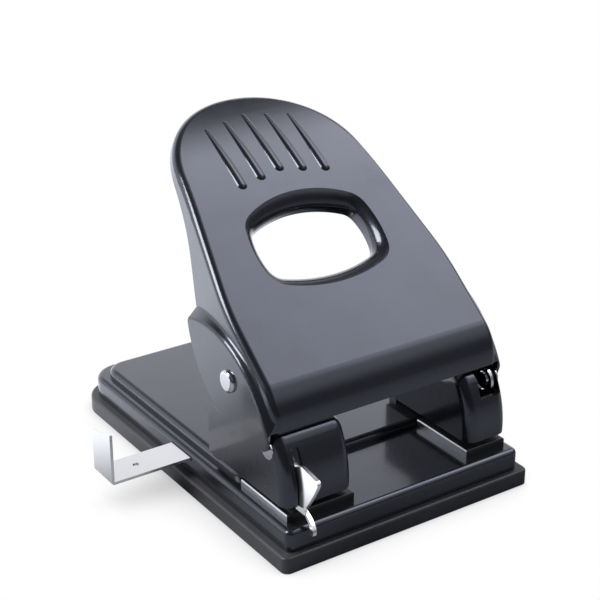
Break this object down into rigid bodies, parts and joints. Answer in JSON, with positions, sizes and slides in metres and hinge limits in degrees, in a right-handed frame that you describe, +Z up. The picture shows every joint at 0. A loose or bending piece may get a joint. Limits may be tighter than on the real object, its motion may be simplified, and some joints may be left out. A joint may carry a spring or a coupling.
{
  "type": "hole punch",
  "caption": "Desk paper punch with a pressed-steel base, chip tray, punch towers, a rounded lever handle with a thumb window, spring-returned punches, a sliding paper guide and a thumb lock.",
  "frame": {"origin": "on the surface the punch stands on, under the middle of the base (the projecting paper guide left out)", "axes": "+Z up, -Y the front edge where the paper goes in, +X the user's right"},
  "size_m": [0.15, 0.1696, 0.1386],
  "materials": {
    "enamel": "glossy black stove enamel",
    "die": "glossy black enamel with bare steel edges",
    "jaw": "dark oiled steel",
    "chrome": "bright plated",
    "steel": "ground steel",
    "zinc": "zinc plated",
    "spring_steel": "drawn spring wire",
    "tray": "satin moulded"
  },
  "bodies": {
    "base": {"base_plate": "enamel", "left_tower": "enamel", "right_tower": "enamel", "left_jaw_plate": "jaw", "right_jaw_plate": "jaw", "left_die_plate": "die", "right_die_plate": "die", "left_guide_bush": "steel", "right_guide_bush": "steel", "left_pivot_pin": "chrome", "right_pivot_pin": "chrome", "die_rivets": "zinc", "tower_rivets": "zinc", "guide_rail": "zinc", "guide_spring": "spring_steel", "lock_clip": "zinc"},
    "handle": {"handle_shell": "enamel", "left_handle_ear": "enamel", "right_handle_ear": "enamel", "drive_shaft": "chrome", "spacer_tube": "steel", "left_roller": "steel", "right_roller": "steel", "shaft_washers": "steel"},
    "left_punch_unit": {"left_punch": "steel", "left_spring_cap": "steel", "left_return_spring": "spring_steel"},
    "right_punch_unit": {"right_punch": "steel", "right_spring_cap": "steel", "right_return_spring": "spring_steel"},
    "lock": {"lock_lever": "chrome"},
    "guide": {"paper_guide": "chrome"},
    "tray": {"chip_tray": "tray"}
  },
  "joints": [
    {"name": "handle_hinge", "type": "hinge", "parent": "base", "child": "handle", "pos_m": [0, -0.0635, 0.042], "axis": [-1, 0, 0], "range_deg": [0, 27], "stiffness_Nm_per_rad": 1.5, "springref_deg": -34.38},
    {"name": "left_punch_slide", "type": "slide", "parent": "base", "child": "left_punch_unit", "axis": [0, 0, -1], "range_m": [0, 0.0127], "deforming": ["left_return_spring"]},
    {"name": "right_punch_slide", "type": "slide", "parent": "base", "child": "right_punch_unit", "axis": [0, 0, -1], "range_m": [0, 0.0127], "deforming": ["right_return_spring"]},
    {"name": "lock_hinge", "type": "hinge", "parent": "base", "child": "lock", "pos_m": [-0.0462, -0.0635, 0.042], "axis": [-1, 0, 0], "range_deg": [0, 30]},
    {"name": "guide_slide", "type": "slide", "parent": "base", "child": "guide", "axis": [-1, 0, 0], "range_m": [-0.028, 0.04]},
    {"name": "tray_pull", "type": "slide", "parent": "base", "child": "tray", "axis": [0, 0, -1], "range_m": [0, 0.02]}
  ],
  "couplings": [
    {"joint": "left_punch_slide", "follows": "handle_hinge", "m_per_rad": 0.02683},
    {"joint": "right_punch_slide", "follows": "handle_hinge", "m_per_rad": 0.02683}
  ]
}
